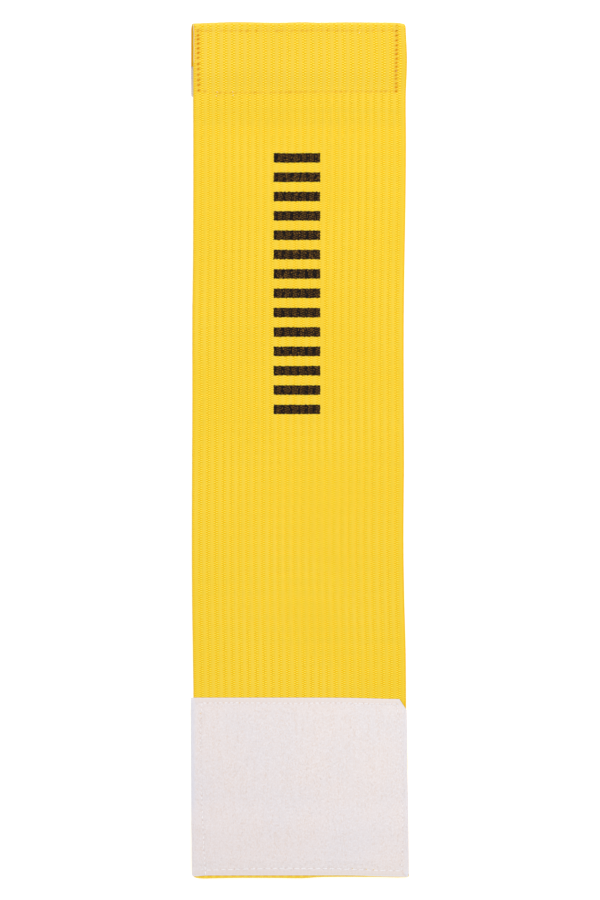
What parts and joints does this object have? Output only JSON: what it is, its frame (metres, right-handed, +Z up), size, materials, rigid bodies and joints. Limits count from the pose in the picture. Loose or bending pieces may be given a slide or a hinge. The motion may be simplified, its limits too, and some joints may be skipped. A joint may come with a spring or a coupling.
{
  "type": "elastic armband",
  "caption": "Wide ribbed elastic armband laid open flat, folded over at both ends, with a hook tape sewn under one end and a wide loop patch on top of the other.",
  "frame": {"origin": "middle of the armband's outline, on the surface that it lies on", "axes": "+X across the strip, +Y along it towards the end with the hook tape, +Z up from the surface, out of the front side"},
  "size_m": [0.0924, 0.3626, 0.0056],
  "materials": {
    "elastic_yellow": "matte ribbed weave",
    "hook_white": "semi-matte nylon hook tape",
    "loop_white": "matte brushed loops",
    "thread_yellow": "satin sewing thread",
    "thread_white": "satin sewing thread"
  },
  "bodies": {
    "root": {"elastic_band": "elastic_yellow", "hook_tape": "hook_white", "loop_patch": "loop_white"}
  },
  "joints": []
}
